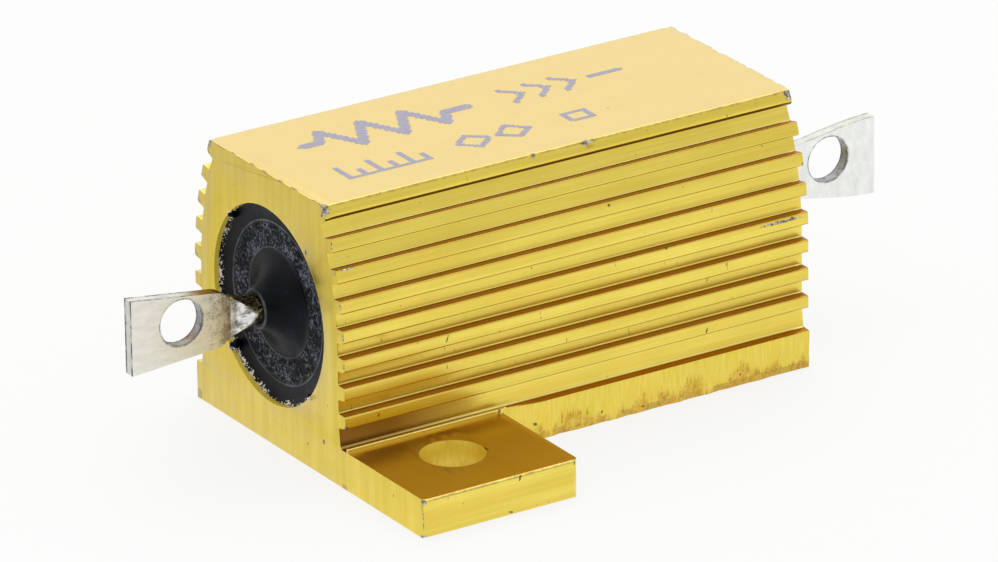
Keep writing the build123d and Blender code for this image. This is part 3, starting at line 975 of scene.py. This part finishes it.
inner = {
    "ceramic_core": steatite(),
    "resistance_winding": drawnMetal("resistanceAlloy", "#8E8A84", "#B5B0A8", 0.35),
    "end_cap_left": drawnMetal("capSteel", "#A9A8A4", "#C9C8C4", 0.30),
}
inner["end_cap_right"] = inner["end_cap_left"]
for name, finish in inner.items():
    slots = nodes[name].data.materials
    slots.clear()
    slots.append(finish)
print("inner parts finished")

studio = {
    "floorSize": 4.0,
    "floorColour": "#F4F4F2",
    "floorGlow": 0.8,          # share of plain white that the camera sees in the floor
    "floorShineFront": 1.06,   # what the metal mirrors of it in front of the object
    "floorShineBack": 0.80,    # and behind
    "fill": 0.7,               # even light on everything
    "back": 1.0,               # what the metal mirrors behind the object
    "above": 0.85,             # above it
    "front": 0.85,             # and low down in front of it
    "dark": 0.12,              # and where the camera stands
    "darkAt": (-32, -2),       # its azimuth and elevation
    "floorReach": (-18.0, 30.0),     # where the floor's front and back begin
}


def makeFloor():
    mesh = bpy.data.meshes.new("floor")
    bm = bmesh.new()
    bmesh.ops.create_grid(bm, x_segments=1, y_segments=1, size=studio["floorSize"] / 2)
    bm.to_mesh(mesh)
    bm.free()
    floor = addObject("floor", mesh)
    material, put, place = newMaterial("paleFloor")[:3]
    path = put("LightPath").outputs
    diffuse = put("BsdfDiffuse", {"Color": studio["floorColour"]})
    at = put("SeparateXYZ", place).outputs
    shines = studio["floorShineFront"], studio["floorShineBack"]
    shine = put("MapRange", at[1], *studio["floorReach"], *shines)
    strength = put("Mix", path["Is Glossy Ray"], 1.0, shine)
    glow = put("Emission", "#FFFFFF", strength)
    share = put("Math.MULTIPLY_ADD", path["Is Camera Ray"], studio["floorGlow"], path["Is Glossy Ray"])
    mix = put("MixShader", share, diffuse, glow)
    put("OutputMaterial", mix)
    mesh.materials.append(material)


def direction(azimuth, elevation):
    a, e = math.radians(azimuth), math.radians(elevation)
    return Vector((math.sin(a) * math.cos(e), -math.cos(a) * math.cos(e), math.sin(e)))


def makeWorld():
    # a white room that is dimmer low down in front, where the camera stands
    world = bpy.data.worlds.new("studio")
    bpy.context.scene.world = world
    world.use_nodes = True
    world.node_tree.nodes.clear()
    put = partial(addNode, world.node_tree)
    path = put("LightPath").outputs
    toward = put("TexCoord").outputs["Generated"]
    split = put("SeparateXYZ", toward).outputs
    depth = put("MapRange", split[1], -0.5, 0.2, studio["front"], studio["back"])
    raised = put("MapRange", split[2], 0.45, 0.65)
    room = put("Mix", raised, depth, studio["above"])
    cameraSide = put("VectorMath.DOT_PRODUCT", toward, direction(*studio["darkAt"]))
    shade = put("MapRange", cameraSide, 0.86, 0.98)
    level = put("Mix", shade, room, studio["dark"])
    fill = put("Background", "#FFFFFF", studio["fill"])
    mirrored = put("Background", "#FFFFFF", level)
    white = put("Background", "#FFFFFF")
    lit = put("MixShader", path["Is Glossy Ray"], fill, mirrored)
    seen = put("MixShader", path["Is Camera Ray"], lit, white)
    put("OutputWorld", {"Surface": seen})


def aim(obj, eye, target, roll=0.0):
    back = (eye - target).normalized()
    right = Vector((0, 0, 1)).cross(back).normalized()
    up = back.cross(right)
    turn = Matrix.Rotation(roll, 3, back)
    basis = Matrix((turn @ right, turn @ up, back)).transposed()
    obj.matrix_world = Matrix.Translation(eye) @ basis.to_4x4()


softbox = {"azimuth": 150, "elevation": 72, "distance": 0.7, "size": 0.9, "power": 2.2}


def makeSoftbox():
    data = bpy.data.lights.new("overheadSoftbox", "AREA")
    data.shape = "DISK"
    data.size = softbox["size"]
    data.energy = softbox["power"]
    eye = direction(softbox["azimuth"], softbox["elevation"]) * softbox["distance"]
    aim(addObject("overheadSoftbox", data), eye, Vector((0, 0, 0)))


view = {
    "target": (0.0, 0.37, 5.28),
    "azimuth": -32.434,
    "elevation": 22.587,
    "distance": 489.1,
    "roll": -0.758,
    "lens": 357.9,
    "sensor": 36,
    "near": 0.01,
}


def makeCamera():
    data = bpy.data.cameras.new("camera")
    data.lens = view["lens"]
    data.sensor_width = view["sensor"]
    data.clip_start = view["near"]
    camera = addObject("camera", data)
    target = Vector(view["target"]) * mm
    eye = target + direction(view["azimuth"], view["elevation"]) * view["distance"] * mm
    aim(camera, eye, target, math.radians(view["roll"]))
    bpy.context.scene.camera = camera


makeFloor()
makeWorld()
makeSoftbox()
makeCamera()
bpy.context.scene.view_settings.view_transform = "Standard"
print("studio made")
